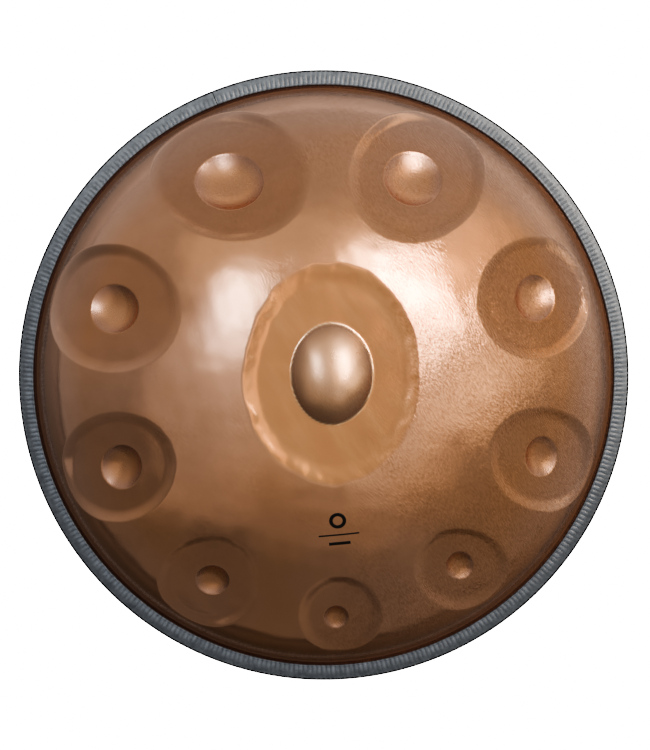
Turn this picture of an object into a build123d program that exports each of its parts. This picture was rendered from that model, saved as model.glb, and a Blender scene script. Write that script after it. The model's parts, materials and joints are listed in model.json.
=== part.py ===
from build123d import *
import os
from collections import namedtuple
from math import asin, atan2, cos, degrees, hypot, radians, sin, sqrt, tan

# Handpan: two drawn steel shells bonded rim to rim, with a U-section trim pressed over the rim.
# Millimetres, +Z up. The origin is the centre of the flat ring that the instrument rests on,
# and azimuths are counter-clockwise from +X, seen from above.

# Sheet and rim
SHEET = 1.2                  # thickness of both shells
FLANGE_RADIUS = 265.0        # outer edge of both flat flanges
GLUE_THICKNESS = 0.4         # adhesive between the flanges

# Meridian that both shells share, from the axis outwards
CROWN_RADIUS = 355.0         # the wide spherical crown
SHOULDER_START = 225.0       # plan radius where the crown turns into the tighter shoulder
SHOULDER_RADIUS = 89.0
FLANK_SLOPE = radians(66)    # steepest slope, just above the flange
ROOT_RADIUS = 4.0            # bend from the flank out into the flange

# Bottom shell: resting ring and port
REST_INNER = 60.0
REST_OUTER = 66.0
REST_BEND = 30.0             # bend from the resting ring up into the crown
PORT_RADIUS = 50.0
PORT_BEND = 10.0             # bend from the resting ring up into the neck
NECK_TOP = 30.0

# Tone fields: shallow flattened ellipses with a softly stepped border
FIELD_STEP = 1.2             # depth of the step at the two ends of a field
FIELD_LEAN = 0.5             # how much higher the outer end of a field's floor lies than its middle
FLOOR_CROWN_SHARE = 0.7      # the floor keeps this much of the crown that the ellipse could keep
WALL_ANGLE = radians(30)     # how far a field's wall leans outwards
WALL_SPREAD = tan(WALL_ANGLE)
CUTTER_BELOW = 12.0          # a field cutter reaches this far below and above the field's chord
CUTTER_ABOVE = 22.0
ROLLER_WIDTH = 320.0         # wider than the largest field
HALVINGS = 40                # steps in the search for the shell's height above a chord

ToneField = namedtuple("ToneField", "azimuth inner_radius outer_radius half_length half_width turn")
Dimple = namedtuple("Dimple", "azimuth radius half_length half_width turn")

# Nine notes around the rim, from the lowest (largest) to the highest. inner_radius and
# outer_radius are where the field's middle line starts and ends, seen from above; turn rotates
# the ellipse within its own plane, away from the radial direction.
RING_FIELDS = [
    ToneField(115.0, 126.0, 247.5, 78.0, 62.0, 27),
    ToneField(65.0, 126.5, 246.5, 73.0, 57.0, -4),
    ToneField(162.5, 127.5, 247.0, 73.0, 54.5, 0),
    ToneField(20.0, 139.0, 243.0, 63.0, 51.5, 8),
    ToneField(-156.0, 139.0, 243.5, 63.5, 47.0, -3),
    ToneField(-21.0, 151.0, 248.0, 61.5, 44.0, 0),
    ToneField(-119.0, 156.5, 244.5, 55.5, 42.5, -12),
    ToneField(-54.5, 162.0, 242.5, 51.0, 38.0, 15),
    ToneField(-86.0, 169.0, 240.5, 44.5, 36.0, 0),
]

# The hollow dimple in each ring field, in the same order
DIMPLES = [
    Dimple(116.0, 184.0, 34.0, 28.0, 29),
    Dimple(65.5, 184.0, 29.5, 25.5, 0),
    Dimple(162.5, 187.5, 26.5, 21.0, 0),
    Dimple(20.0, 192.0, 22.5, 19.5, 20),
    Dimple(-155.5, 189.5, 22.5, 18.5, 10),
    Dimple(-20.5, 199.0, 19.5, 16.5, -27),
    Dimple(-118.5, 200.0, 17.5, 14.0, -17),
    Dimple(-54.5, 200.5, 15.5, 12.0, 0),
    Dimple(-87.0, 208.0, 13.0, 10.5, 0),
]
DIMPLE_DEPTH_SHARE = 0.28    # depth of a dimple over its half length

# The centre note and its raised dome
DING_X = 7.0
DING_Y = 1.0
DING_FIELD_HALF_LENGTH = 92.0    # along Y
DING_FIELD_HALF_WIDTH = 74.0     # along X
DING_HALF_LENGTH = 42.0
DING_HALF_WIDTH = 34.0
DING_HEIGHT = 14.5
DING_FOOT = 2.4              # the dome's solid starts this far below the floor, inside the shell

# Edge trim: a rubber U section with a steel strip inside it
TRIM_INNER_RADIUS = 254.0
TRIM_OUTER_RADIUS = 267.5
TRIM_LEG = 2.8               # thickness of each leg
TRIM_ROUNDING = 1.5
CORE_THICKNESS = 0.5
CORE_COVER = 0.6             # rubber between the strip and the flanges
CORE_INNER_RADIUS = 256.0
JOINT_AZIMUTH = 111.5        # where the two ends of the trim meet
JOINT_GAP = 0.5
SLOT_OVERCUT = 1.0           # the slot is cut this far past the inner end of the legs

# Generic printed mark below the centre note: a plain ring over two plain bars
MARK_AZIMUTH = -84.5
MARK_RADIUS = 122.0          # plan radius of the ring's centre
MARK_RING_OUTER = 7.0
MARK_RING_INNER = 4.2
MARK_BARS = [(13.0, 34.0, 1.2), (21.0, 18.0, 2.6)]   # distance from the ring's centre, length, width
INK_THICKNESS = 0.1
MARK_REACH = 2.0             # the mark's outline is projected this far to both sides of its plane

# Worked-out meridian values
SHOULDER_SLOPE = asin(SHOULDER_START / CROWN_RADIUS)
CROWN_DROP = CROWN_RADIUS * (1 - cos(SHOULDER_SLOPE))
SHOULDER_CENTRE = (
    SHOULDER_START - SHOULDER_RADIUS * sin(SHOULDER_SLOPE),
    -CROWN_DROP - SHOULDER_RADIUS * cos(SHOULDER_SLOPE),
)
ROOT_CENTRE = (
    SHOULDER_CENTRE[0] + (SHOULDER_RADIUS + ROOT_RADIUS) * sin(FLANK_SLOPE),
    SHOULDER_CENTRE[1] + (SHOULDER_RADIUS + ROOT_RADIUS) * cos(FLANK_SLOPE),
)
DOME_HEIGHT = ROOT_RADIUS - ROOT_CENTRE[1]

# Worked-out heights
REST_SLOPE = asin(REST_OUTER / (CROWN_RADIUS - REST_BEND))
BOTTOM_APEX = REST_BEND + (CROWN_RADIUS - REST_BEND) * cos(REST_SLOPE) - CROWN_RADIUS
RIM_BOTTOM = BOTTOM_APEX + DOME_HEIGHT
GLUE_BOTTOM = RIM_BOTTOM + SHEET
TOP_SHELL_BASE = GLUE_BOTTOM + GLUE_THICKNESS
RIM_TOP = TOP_SHELL_BASE + SHEET
TOP_APEX = RIM_TOP + DOME_HEIGHT


def arc(centre, radius, side, slope_start, slope_end):
    """Arc about a centre (radius, height) from one slope to another.

    side is 1 where the arc lies above its centre and -1 below; a negative radius bends the other way.
    """
    slopes = (slope_start, (slope_start + slope_end) / 2, slope_end)
    points = [(centre[0] + radius * sin(s), 0, centre[1] + side * radius * cos(s)) for s in slopes]
    return ThreePointArc(*points)


def meridian(skin, apex, side=1, start_slope=0.0):
    """Crown, shoulder and root arcs, a distance skin inside the outer face of one shell.

    apex is the height of the shell's pole, and side is 1 for the upper shell and -1 for the lower.
    """
    bends = [
        ((0, -CROWN_RADIUS), CROWN_RADIUS - skin, start_slope, SHOULDER_SLOPE),
        (SHOULDER_CENTRE, SHOULDER_RADIUS - skin, SHOULDER_SLOPE, FLANK_SLOPE),
        (ROOT_CENTRE, -ROOT_RADIUS - skin, FLANK_SLOPE, 0),
    ]
    return [
        arc((centre[0], apex + side * centre[1]), radius, side, *slopes)
        for centre, radius, *slopes in bends
    ]


def path(*points):
    """Straight lines through points given as (radius, height)."""
    return [Line((a[0], 0, a[1]), (b[0], 0, b[1])) for a, b in zip(points, points[1:])]


def spin(edges, angle=360):
    """Solid of revolution about Z from the edges of a closed outline in the XZ plane."""
    return revolve(Face(Wire(edges)), Axis.Z, angle)


def drop(radius):
    """How far the shell's outer face lies below its apex at a plan radius."""
    if radius <= SHOULDER_START:
        return CROWN_RADIUS - sqrt(CROWN_RADIUS**2 - radius**2)
    reach = radius - SHOULDER_CENTRE[0]
    return -SHOULDER_CENTRE[1] - sqrt(SHOULDER_RADIUS**2 - reach**2)


def direction(azimuth, slope):
    """Unit vector that points outwards at an azimuth and down by a slope."""
    return Vector(
        cos(slope) * cos(radians(azimuth)),
        cos(slope) * sin(radians(azimuth)),
        -sin(slope),
    )


def ring_plane(field):
    """Plane through a ring field's middle line: x runs outwards and down, z points out of the shell."""
    start, end = TOP_APEX - drop(field.inner_radius), TOP_APEX - drop(field.outer_radius)
    slope = atan2(start - end, field.outer_radius - field.inner_radius)
    middle = direction(field.azimuth, 0) * ((field.inner_radius + field.outer_radius) / 2)
    return Plane(
        origin=middle + Vector(0, 0, (start + end) / 2),
        x_dir=direction(field.azimuth, slope),
        z_dir=direction(field.azimuth, slope - radians(90)),
    )


def ding_plane():
    """Plane through the long axis of the centre field: x runs along +Y, z points out of the shell."""
    height = sqrt(CROWN_RADIUS**2 - DING_X**2 - DING_Y**2)
    outwards = Vector(DING_X, DING_Y, height).normalized()
    depth = sqrt(CROWN_RADIUS**2 - DING_FIELD_HALF_LENGTH**2)
    centre = Vector(0, 0, TOP_APEX - CROWN_RADIUS)
    return Plane(origin=centre + outwards * depth, x_dir=(0, 1, 0), z_dir=outwards)


def crown_over(plane, half_width):
    """How far the shell rises between a field's ends, less what its straight width cuts away."""
    low, high = 0.0, CUTTER_ABOVE
    for _ in range(HALVINGS):
        middle = (low + high) / 2
        point = plane.from_local_coords((0, 0, middle))
        if point.Z < TOP_APEX - drop(hypot(point.X, point.Y)):
            low = middle
        else:
            high = middle
    return low - half_width**2 / (2 * CROWN_RADIUS)


class Floor:
    """Floor of a field: curved along the plane's x like a large roller, and straight along its y."""

    def __init__(self, plane, chord_half, half_width, lean):
        self.plane = plane
        self.wall_level = crown_over(plane, half_width)
        crown = FLOOR_CROWN_SHARE * self.wall_level
        self.top = crown - FIELD_STEP
        self.radius = chord_half**2 / (2 * crown)
        self.shift = lean * self.radius / chord_half

    def level(self, x):
        """Height of the floor above the plane."""
        return self.top - self.radius + sqrt(self.radius**2 - (x - self.shift) ** 2)

    def below_plan_point(self, radius, azimuth):
        """Local x and y of the point of the floor that lies under a plan radius and azimuth."""
        point = direction(azimuth, 0) * radius
        origin = self.plane.origin + self.plane.z_dir * self.top
        across = (point - origin).X * self.plane.z_dir.X + (point - origin).Y * self.plane.z_dir.Y
        local = self.plane.to_local_coords(
            Vector(point.X, point.Y, origin.Z - across / self.plane.z_dir.Z)
        )
        return local.X, local.Y

    def cutter(self, half_length, half_width, turn, skin):
        """What is taken off a domed body to leave this floor and a wall that leans outwards."""
        grow = skin / cos(WALL_ANGLE)
        length = half_length + grow
        width = half_width + grow - self.wall_level * WALL_SPREAD
        below, above = CUTTER_BELOW * WALL_SPREAD, CUTTER_ABOVE * WALL_SPREAD
        low = Pos(Z=-CUTTER_BELOW) * Ellipse(length - below, width - below)
        high = Pos(Z=CUTTER_ABOVE) * Ellipse(length + above, width + above)
        block = Rot(Z=turn) * loft([low, high], ruled=True)
        roller = Rot(X=90) * Cylinder(self.radius - skin, ROLLER_WIDTH)
        return self.plane * (block - Pos(self.shift, 0, self.top - self.radius) * roller)


def cap_radius(half_length, height):
    """Radius of the ball whose cap has this half length at its base and this height."""
    return (half_length**2 + height**2) / (2 * height)


def ellipsoid(radius, half_length, half_width):
    """Ball squeezed along y in the proportion of the two half axes."""
    return scale(Sphere(radius), (1, half_width / half_length, 1))


def dimple_cutter(floor, dimple, skin):
    """Ellipsoid that presses one dimple into a field's floor."""
    depth = DIMPLE_DEPTH_SHARE * dimple.half_length
    radius = cap_radius(dimple.half_length, depth)
    ball = Rot(Z=dimple.turn) * ellipsoid(radius + skin, dimple.half_length, dimple.half_width)
    x, y = floor.below_plan_point(dimple.radius, dimple.azimuth)
    return floor.plane * (Pos(x, y, floor.level(x) + radius - depth) * ball)


def ding_cap(floor, skin):
    """Raised dome of the centre note, from a little below the field's floor."""
    radius = cap_radius(DING_HALF_LENGTH, DING_HEIGHT)
    ball = ellipsoid(radius - skin, DING_HALF_LENGTH, DING_HALF_WIDTH)
    ball = Pos(Z=floor.top + DING_HEIGHT - radius) * ball
    base = Plane.XY.offset(floor.top - DING_FOOT)
    return floor.plane * split(ball, base, keep=Keep.TOP)


def domed_body(skin):
    """Everything under the outer face (skin = 0) or under the inner face (skin = SHEET)."""
    edges = meridian(skin, TOP_APEX)
    apex, foot = edges[0] @ 0, edges[-1] @ 1
    if skin == 0:
        outline = path((foot.X, foot.Z), (FLANGE_RADIUS, RIM_TOP), (FLANGE_RADIUS, TOP_SHELL_BASE))
        outline += path((FLANGE_RADIUS, TOP_SHELL_BASE), (0, TOP_SHELL_BASE), (0, apex.Z))
    else:
        base = TOP_SHELL_BASE - SHEET
        outline = path((foot.X, foot.Z), (foot.X, base), (0, base), (0, apex.Z))
    body = spin(edges + outline)

    ding = Floor(ding_plane(), DING_FIELD_HALF_LENGTH, DING_FIELD_HALF_WIDTH, 0)
    body -= ding.cutter(DING_FIELD_HALF_LENGTH, DING_FIELD_HALF_WIDTH, 0, skin)
    body += ding_cap(ding, skin)
    for field, dimple in zip(RING_FIELDS, DIMPLES):
        plane = ring_plane(field)
        chord_half = hypot(
            field.outer_radius - field.inner_radius,
            drop(field.outer_radius) - drop(field.inner_radius),
        ) / 2
        floor = Floor(plane, chord_half, field.half_width, FIELD_LEAN)
        body -= floor.cutter(field.half_length, field.half_width, field.turn, skin)
        body -= dimple_cutter(floor, dimple, skin)
    return body


def top_shell():
    """Upper shell: the crown with its nine ring fields and the centre note, down to the flange."""
    return domed_body(0) - domed_body(SHEET)


def bottom_shell():
    """Lower shell: flange, crown, flat resting ring and the port with its short upturned neck."""
    outline = meridian(0, BOTTOM_APEX, -1, REST_SLOPE) + meridian(SHEET, BOTTOM_APEX, -1, REST_SLOPE)
    outline += path((ROOT_CENTRE[0], RIM_BOTTOM), (FLANGE_RADIUS, RIM_BOTTOM))
    outline += path((FLANGE_RADIUS, RIM_BOTTOM), (FLANGE_RADIUS, GLUE_BOTTOM))
    outline += path((FLANGE_RADIUS, GLUE_BOTTOM), (ROOT_CENTRE[0], GLUE_BOTTOM))
    for skin in (0, SHEET):
        wall = PORT_RADIUS + skin
        outline.append(arc((REST_OUTER, REST_BEND), REST_BEND - skin, -1, 0, REST_SLOPE))
        outline += path((REST_OUTER, skin), (REST_INNER, skin))
        outline.append(arc((REST_INNER, PORT_BEND), PORT_BEND - skin, -1, radians(-90), 0))
        outline += path((wall, PORT_BEND), (wall, NECK_TOP))
    outline.append(
        ThreePointArc(
            (PORT_RADIUS, 0, NECK_TOP),
            (PORT_RADIUS + SHEET / 2, 0, NECK_TOP + SHEET / 2),
            (PORT_RADIUS + SHEET, 0, NECK_TOP),
        )
    )
    return spin(outline)


def section(inner, outer, bottom, top):
    """Rectangle in the XZ plane between two radii and two heights."""
    centre = Pos((inner + outer) / 2, (bottom + top) / 2)
    return Plane.XZ * centre * Rectangle(outer - inner, top - bottom)


def flange_adhesive():
    """Ring of adhesive between the two flanges."""
    return revolve(section(ROOT_CENTRE[0], FLANGE_RADIUS, GLUE_BOTTOM, TOP_SHELL_BASE), Axis.Z)


def trim_section():
    """U section of the trim, with its rounded outer corners and the slot for the flanges."""
    body = section(TRIM_INNER_RADIUS, TRIM_OUTER_RADIUS, RIM_BOTTOM - TRIM_LEG, RIM_TOP + TRIM_LEG)
    corners = body.vertices().sort_by(Axis.X)[-2:]
    body = fillet(corners, TRIM_ROUNDING)
    return body - section(TRIM_INNER_RADIUS - SLOT_OVERCUT, FLANGE_RADIUS, RIM_BOTTOM, RIM_TOP)


def core_section():
    """U section of the steel strip that lies inside the rubber."""
    cover, reach = CORE_COVER, CORE_COVER + CORE_THICKNESS
    strip = section(CORE_INNER_RADIUS, FLANGE_RADIUS + reach, RIM_BOTTOM - reach, RIM_TOP + reach)
    hollow = section(CORE_INNER_RADIUS, FLANGE_RADIUS + cover, RIM_BOTTOM - cover, RIM_TOP + cover)
    return strip - hollow


def around_rim(profile, start, angle):
    """Sweep a section around the rim from an azimuth through an angle."""
    return Rot(Z=start) * revolve(profile, Axis.Z, angle)


def printed_mark():
    """Generic mark in a thin layer of ink on the crown: a plain ring over two plain bars."""
    centre = Vector(0, 0, TOP_APEX - CROWN_RADIUS)
    slope = asin(MARK_RADIUS / CROWN_RADIUS)
    outwards = direction(MARK_AZIMUTH, slope - radians(90))
    across = direction(MARK_AZIMUTH + 90, 0)
    plane = Plane(origin=centre + outwards * CROWN_RADIUS, x_dir=across, z_dir=outwards)
    outline = Circle(MARK_RING_OUTER) - Circle(MARK_RING_INNER)
    for distance, length, width in MARK_BARS:
        outline += Pos(Y=-distance) * Rectangle(length, width)
    block = plane * extrude(outline, amount=MARK_REACH, both=True)
    layer = Pos(centre) * (Sphere(CROWN_RADIUS + INK_THICKNESS) - Sphere(CROWN_RADIUS))
    return block & layer


GAP_ANGLE = degrees(JOINT_GAP / FLANGE_RADIUS)
TRIM_START = JOINT_AZIMUTH + GAP_ANGLE / 2
TRIM_ANGLE = 360 - GAP_ANGLE

NODES = {
    "top_shell": top_shell(),
    "bottom_shell": bottom_shell(),
    "flange_adhesive": flange_adhesive(),
    "edge_trim": around_rim(trim_section() - core_section(), TRIM_START, TRIM_ANGLE),
    "trim_core": around_rim(core_section(), TRIM_START, TRIM_ANGLE),
    "trim_joint_bond": around_rim(trim_section(), TRIM_START - GAP_ANGLE, GAP_ANGLE),
    "printed_mark": printed_mark(),
}

os.makedirs("parts", exist_ok=True)
for name, shape in NODES.items():
    export_step(shape, f"parts/{name}.step")
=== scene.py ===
import json
from collections import namedtuple
from math import asin, atan2, cos, pi, radians, sin, sqrt, tan

import bpy
import numpy as np
from mathutils import Matrix, Vector


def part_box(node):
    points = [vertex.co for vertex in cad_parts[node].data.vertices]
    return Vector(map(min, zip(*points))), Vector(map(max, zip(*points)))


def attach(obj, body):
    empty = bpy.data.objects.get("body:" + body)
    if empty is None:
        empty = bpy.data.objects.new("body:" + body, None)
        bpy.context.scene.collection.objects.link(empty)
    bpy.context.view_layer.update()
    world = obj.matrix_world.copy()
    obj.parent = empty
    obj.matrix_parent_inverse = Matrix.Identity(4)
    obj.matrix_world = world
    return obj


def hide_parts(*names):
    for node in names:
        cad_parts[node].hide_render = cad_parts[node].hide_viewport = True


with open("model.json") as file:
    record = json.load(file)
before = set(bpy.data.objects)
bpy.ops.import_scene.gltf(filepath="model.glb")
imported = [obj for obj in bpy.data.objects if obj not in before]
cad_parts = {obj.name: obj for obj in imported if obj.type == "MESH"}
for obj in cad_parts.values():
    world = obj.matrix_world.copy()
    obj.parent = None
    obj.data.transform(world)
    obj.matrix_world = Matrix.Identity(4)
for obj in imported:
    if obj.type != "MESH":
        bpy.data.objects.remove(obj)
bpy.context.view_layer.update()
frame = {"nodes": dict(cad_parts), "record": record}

# Handpan seen from above. Metres, +Z up, with the origin where the part's frame puts it.
MM = 0.001

# --- Driving dimensions, the same design as the part's ---
TOP_LOW, TOP_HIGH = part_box("top_shell")
BOTTOM_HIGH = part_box("bottom_shell")[1]
TRIM_LOW, TRIM_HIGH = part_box("edge_trim")
PORT_RADIUS = frame["record"]["mounts"][0]["dims"]["r_mm"] * MM

SHEET = 1.2 * MM
FLANGE_RADIUS = 265 * MM
CROWN_RADIUS = 355 * MM
SHOULDER_START = 225 * MM
SHOULDER_RADIUS = 89 * MM
FLANK_SLOPE = radians(66)
ROOT_RADIUS = 4 * MM

REST_INNER = 60 * MM
REST_OUTER = 66 * MM
REST_BEND = 30 * MM
PORT_BEND = 10 * MM
NECK_TOP = 30 * MM

FIELD_STEP = 1.2 * MM
FIELD_LEAN = 0.5 * MM
FLOOR_CROWN_SHARE = 0.7
DIMPLE_DEPTH_SHARE = 0.28

ToneField = namedtuple(
    "ToneField",
    "azimuth inner_radius outer_radius half_length half_width turn darkening scratching",
)
Dimple = namedtuple("Dimple", "azimuth radius half_length half_width turn")

# The ring's fields, in millimetres and degrees. The radii are where a field starts and ends, seen
# from above. Darkening is painted shade on a field's floor; it and scratching run from 0 to 1.
RING_FIELDS = [
    ToneField(115.0, 126.0, 247.5, 78.0, 62.0, 27, 0.28, 0.4),
    ToneField(65.0, 126.5, 246.5, 73.0, 57.0, -4, 0.22, 0.6),
    ToneField(162.5, 127.5, 247.0, 73.0, 54.5, 0, 0.32, 0.1),
    ToneField(20.0, 139.0, 243.0, 63.0, 51.5, 8, 0.34, 1.0),
    ToneField(-156.0, 139.0, 243.5, 63.5, 47.0, -3, 0.22, 0.0),
    ToneField(-21.0, 151.0, 248.0, 61.5, 44.0, 0, 0.00, 0.1),
    ToneField(-119.0, 156.5, 244.5, 55.5, 42.5, -12, 0.04, 0.1),
    ToneField(-54.5, 162.0, 242.5, 51.0, 38.0, 15, 0.12, 0.2),
    ToneField(-86.0, 169.0, 240.5, 44.5, 36.0, 0, 0.08, 0.2),
]
# The dimple in each of those fields, in millimetres and degrees
DIMPLES = [
    Dimple(116.0, 184.0, 34.0, 28.0, 29),
    Dimple(65.5, 184.0, 29.5, 25.5, 0),
    Dimple(162.5, 187.5, 26.5, 21.0, 0),
    Dimple(20.0, 192.0, 22.5, 19.5, 20),
    Dimple(-155.5, 189.5, 22.5, 18.5, 10),
    Dimple(-20.5, 199.0, 19.5, 16.5, -27),
    Dimple(-118.5, 200.0, 17.5, 14.0, -17),
    Dimple(-54.5, 200.5, 15.5, 12.0, 0),
    Dimple(-87.0, 208.0, 13.0, 10.5, 0),
]

# The centre note: half lengths along Y and X of its field and of its dome
DING_CENTRE = (7 * MM, 1 * MM)
DING_FIELD = (92 * MM, 74 * MM)
DING_CAP = (42 * MM, 34 * MM)
DING_HEIGHT = 14.0 * MM
DING_LEAN = 0.3              # its far end is lower by this share of the height, its near end higher
BEAD_HEIGHT = 0.18 * MM      # crisp bead around the foot of the dome
BEAD_WIDTH = 0.65 * MM
BEAD_HIGHLIGHT_WIDTH = 0.45 * MM     # painted highlight along the bead, this far to both sides

# Trim: the profile of its two legs
TRIM_INNER = 254 * MM
TRIM_OUTER = min(-TRIM_LOW.x, TRIM_HIGH.x, -TRIM_LOW.y, TRIM_HIGH.y)
TRIM_LEG = 2.8 * MM
TRIM_BEAD = 1.0 * MM         # radius of the inner end
TRIM_FACE_START = 1.8 * MM   # the ribbed face starts this far from the inner end
TRIM_GROOVE = 0.15 * MM      # depth of the groove where it starts
TRIM_FALL = 1.3 * MM         # how far the face falls towards the outer edge
TRIM_FALL_POWER = 2.2
TRIM_CORNER = 2.4 * MM       # radius of the outer edge
TRIM_CORNER_START = 74       # degrees from the outward direction at which that radius starts
EDGE_SHADE_WIDTH = 1.7 * MM   # painted shade: a black band round the outer edge
JOINT_AZIMUTH = radians(111.5)
JOINT_GAP = 0.5 * MM
CEMENT_INSET = 0.35 * MM

# Ribs of the trim
RIBS = 400
RIB_DEPTH = 0.6 * MM
RIB_LEG_FADE = 0.6 * MM      # width over which the ribs end at the slot's side of a leg
RIB_START = 0.9 * MM         # where they start, from the inner end of the leg
RIB_START_FADE = 0.8 * MM
RIB_END = 5.0 * MM           # where they grow shallow, from the outer edge
RIB_END_FADE = 4 * MM
RIB_END_SHARE = 0.25         # share of the depth that is left at the outer edge
RIB_LOW_SHARE = 0.55         # share of the depth where the ribs are shallowest around the trim
RIB_JOINT_FADE = 0.12        # radians next to the joint without full ribs
RIB_SHAKE = 0.35             # how far ribs wander, in radians of their own wave
VALLEY_END = 264 * MM        # painted shade between the ribs ends at this plan radius
VALLEY_FADE = 5 * MM
# Share of painted shade in the valleys between the ribs
VALLEY_SHADE_SHARE = 0.5

# Generic printed mark: a plain ring over two plain bars
MARK_AZIMUTH = -84.5
MARK_RADIUS = 122 * MM
MARK_RING = (4.2 * MM, 7 * MM)
MARK_BARS = [(13, 34, 1.2), (21, 18, 2.6)]   # millimetres from the ring's centre, length, width
INK_THICKNESS = 0.1 * MM
INK_FOOT = 0.02 * MM         # height of the ink's lower face above the sheet

# Hammering: shortest and longest wave of each relief, its depth, and its seed
HAMMER_MARKS = (14 * MM, 34 * MM)
FLOOR_WAVES = (26 * MM, 60 * MM)
WALL_FACETS = (8 * MM, 20 * MM)
RIB_WAVES = (3 * MM, 9 * MM)
OUTLINE_LOBES = (2, 3, 4, 5, 7, 9, 13, 17, 23)
HAMMER_DEPTH = 0.07 * MM
CLEAR_RIM = 8 * MM           # no hammering this near the flange's edge
FADE_WIDTH = 12 * MM         # width over which hammering fades in
PLANISH_START = 80 * MM      # plan radii between which the lower shell is hammered
PLANISH_START_FADE = 20 * MM
PLANISH_END = 244 * MM
TOP_SEED = 3
BOTTOM_SEED = 8
CENTRE_SEED = 5
RING_SEED = 20               # seed of the first field of the ring
RIB_SEED = 31
WAVE_SEED = 50               # added to a field's seed for the waves of its floor
FACET_SEED = 90              # added to a field's seed for the facets of its wall

# How a field's border is worked: width of its wall, whether the wall starts steeply, how far the
# outline wanders as a share of its size, and the depths of the floor's waves and the wall's facets
Border = namedtuple("Border", "wall steep wander waviness facets")
RING_BORDER = Border(12 * MM, False, 0.004, 0.24 * MM, 0.03 * MM)
CENTRE_BORDER = Border(16 * MM, True, 0.013, 0.22 * MM, 0.18 * MM)

FIELD_REACH = -40 * MM       # a field acts on points no further below its plane than this
FAR_OUT = 9                  # a distance that is outside every outline
SEARCH_HEIGHT = 22 * MM      # the shell lies less than this above any chord
HALVINGS = 40

# Mesh density
TOP_RINGS = (200, 40, 8, 4)  # rings on the crown, shoulder, root bend and flange
THINNING = 3                 # the inner face has one ring for this many of the outer face
BOTTOM_RINGS = (70, 14, 4)   # rings on the crown, shoulder and root bend of the inner face
BOTTOM_FLANGE_RINGS = 2
NECK_POINTS = 6
LIP_POINTS = 8
REST_POINTS = 4
BOTTOM_SIDES = 540
TRIM_FACE_POINTS = 13
TRIM_BEAD_POINTS = 6
TRIM_CORNER_POINTS = 8
POINTS_PER_RIB = 6
MARK_SIDES = 96
BAR_POINTS = 25
STRIP_ROWS = 6

# --- Meridian ---
SHOULDER_SLOPE = asin(SHOULDER_START / CROWN_RADIUS)
CROWN_DROP = CROWN_RADIUS * (1 - cos(SHOULDER_SLOPE))
SHOULDER_CENTRE = (
    SHOULDER_START - SHOULDER_RADIUS * sin(SHOULDER_SLOPE),
    -CROWN_DROP - SHOULDER_RADIUS * cos(SHOULDER_SLOPE),
)
ROOT_CENTRE = (
    SHOULDER_CENTRE[0] + (SHOULDER_RADIUS + ROOT_RADIUS) * sin(FLANK_SLOPE),
    SHOULDER_CENTRE[1] + (SHOULDER_RADIUS + ROOT_RADIUS) * cos(FLANK_SLOPE),
)
DOME_HEIGHT = ROOT_RADIUS - ROOT_CENTRE[1]
RIM_TOP = TOP_LOW.z + SHEET
RIM_BOTTOM = BOTTOM_HIGH.z - SHEET
TOP_APEX = RIM_TOP + DOME_HEIGHT
BOTTOM_APEX = RIM_BOTTOM - DOME_HEIGHT


def drop(radius):
    """Depth of the shell's outer face below its apex at plan radii (an array or one number)."""
    radius = np.asarray(radius, float)
    crown = CROWN_RADIUS - np.sqrt(np.maximum(CROWN_RADIUS**2 - radius**2, 0))
    reach = np.clip((radius - SHOULDER_CENTRE[0]) / SHOULDER_RADIUS, -1, 1)
    shoulder = -SHOULDER_CENTRE[1] - SHOULDER_RADIUS * np.sqrt(1 - reach**2)
    return np.where(radius > SHOULDER_START, shoulder, crown)


def bend(centre, radius, start, end, count):
    """Points (radius, height below the apex) on one arc of the meridian, without its first point."""
    slopes = np.linspace(start, end, count + 1)[1:]
    return np.stack([centre[0] + radius * np.sin(slopes), centre[1] + radius * np.cos(slopes)], 1)


def meridian(crown_rings, shoulder_rings, root_rings, flange_rings, start=0.0):
    """Rings of the outer face from a slope out to the flange's edge, with the apex at height 0."""
    first = [[CROWN_RADIUS * sin(start), CROWN_RADIUS * (cos(start) - 1)]]
    crown = bend((0, -CROWN_RADIUS), CROWN_RADIUS, start, SHOULDER_SLOPE, crown_rings)
    shoulder = bend(SHOULDER_CENTRE, SHOULDER_RADIUS, SHOULDER_SLOPE, FLANK_SLOPE, shoulder_rings)
    root = bend(ROOT_CENTRE, -ROOT_RADIUS, FLANK_SLOPE, 0, root_rings)
    radii = np.linspace(ROOT_CENTRE[0], FLANGE_RADIUS, flange_rings + 1)[1:]
    flange = np.stack([radii, np.full(flange_rings, -DOME_HEIGHT)], 1)
    return np.concatenate([first, crown, shoulder, root, flange])


def smooth(value):
    """Smooth step from 0 to 1."""
    value = np.clip(value, 0, 1)
    return value * value * (3 - 2 * value)


def ripple(points, shortest, longest, seed, waves=48):
    """Smooth random relief between about -1 and 1, made of waves with lengths in a range."""
    draw = np.random.default_rng(seed)
    total = np.zeros(points.shape[:-1])
    for _ in range(waves):
        heading = draw.normal(size=3)
        heading *= 2 * pi / draw.uniform(shortest, longest) / np.linalg.norm(heading)
        total += np.sin(points @ heading + draw.uniform(0, 2 * pi))
    return total * sqrt(2 / waves) / 2


# --- Tone fields ---
def unit(azimuth, slope):
    """Unit vector that points outwards at an azimuth in degrees and down by a slope in radians."""
    turn = radians(azimuth)
    return np.array([cos(slope) * cos(turn), cos(slope) * sin(turn), -sin(slope)])


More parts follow.
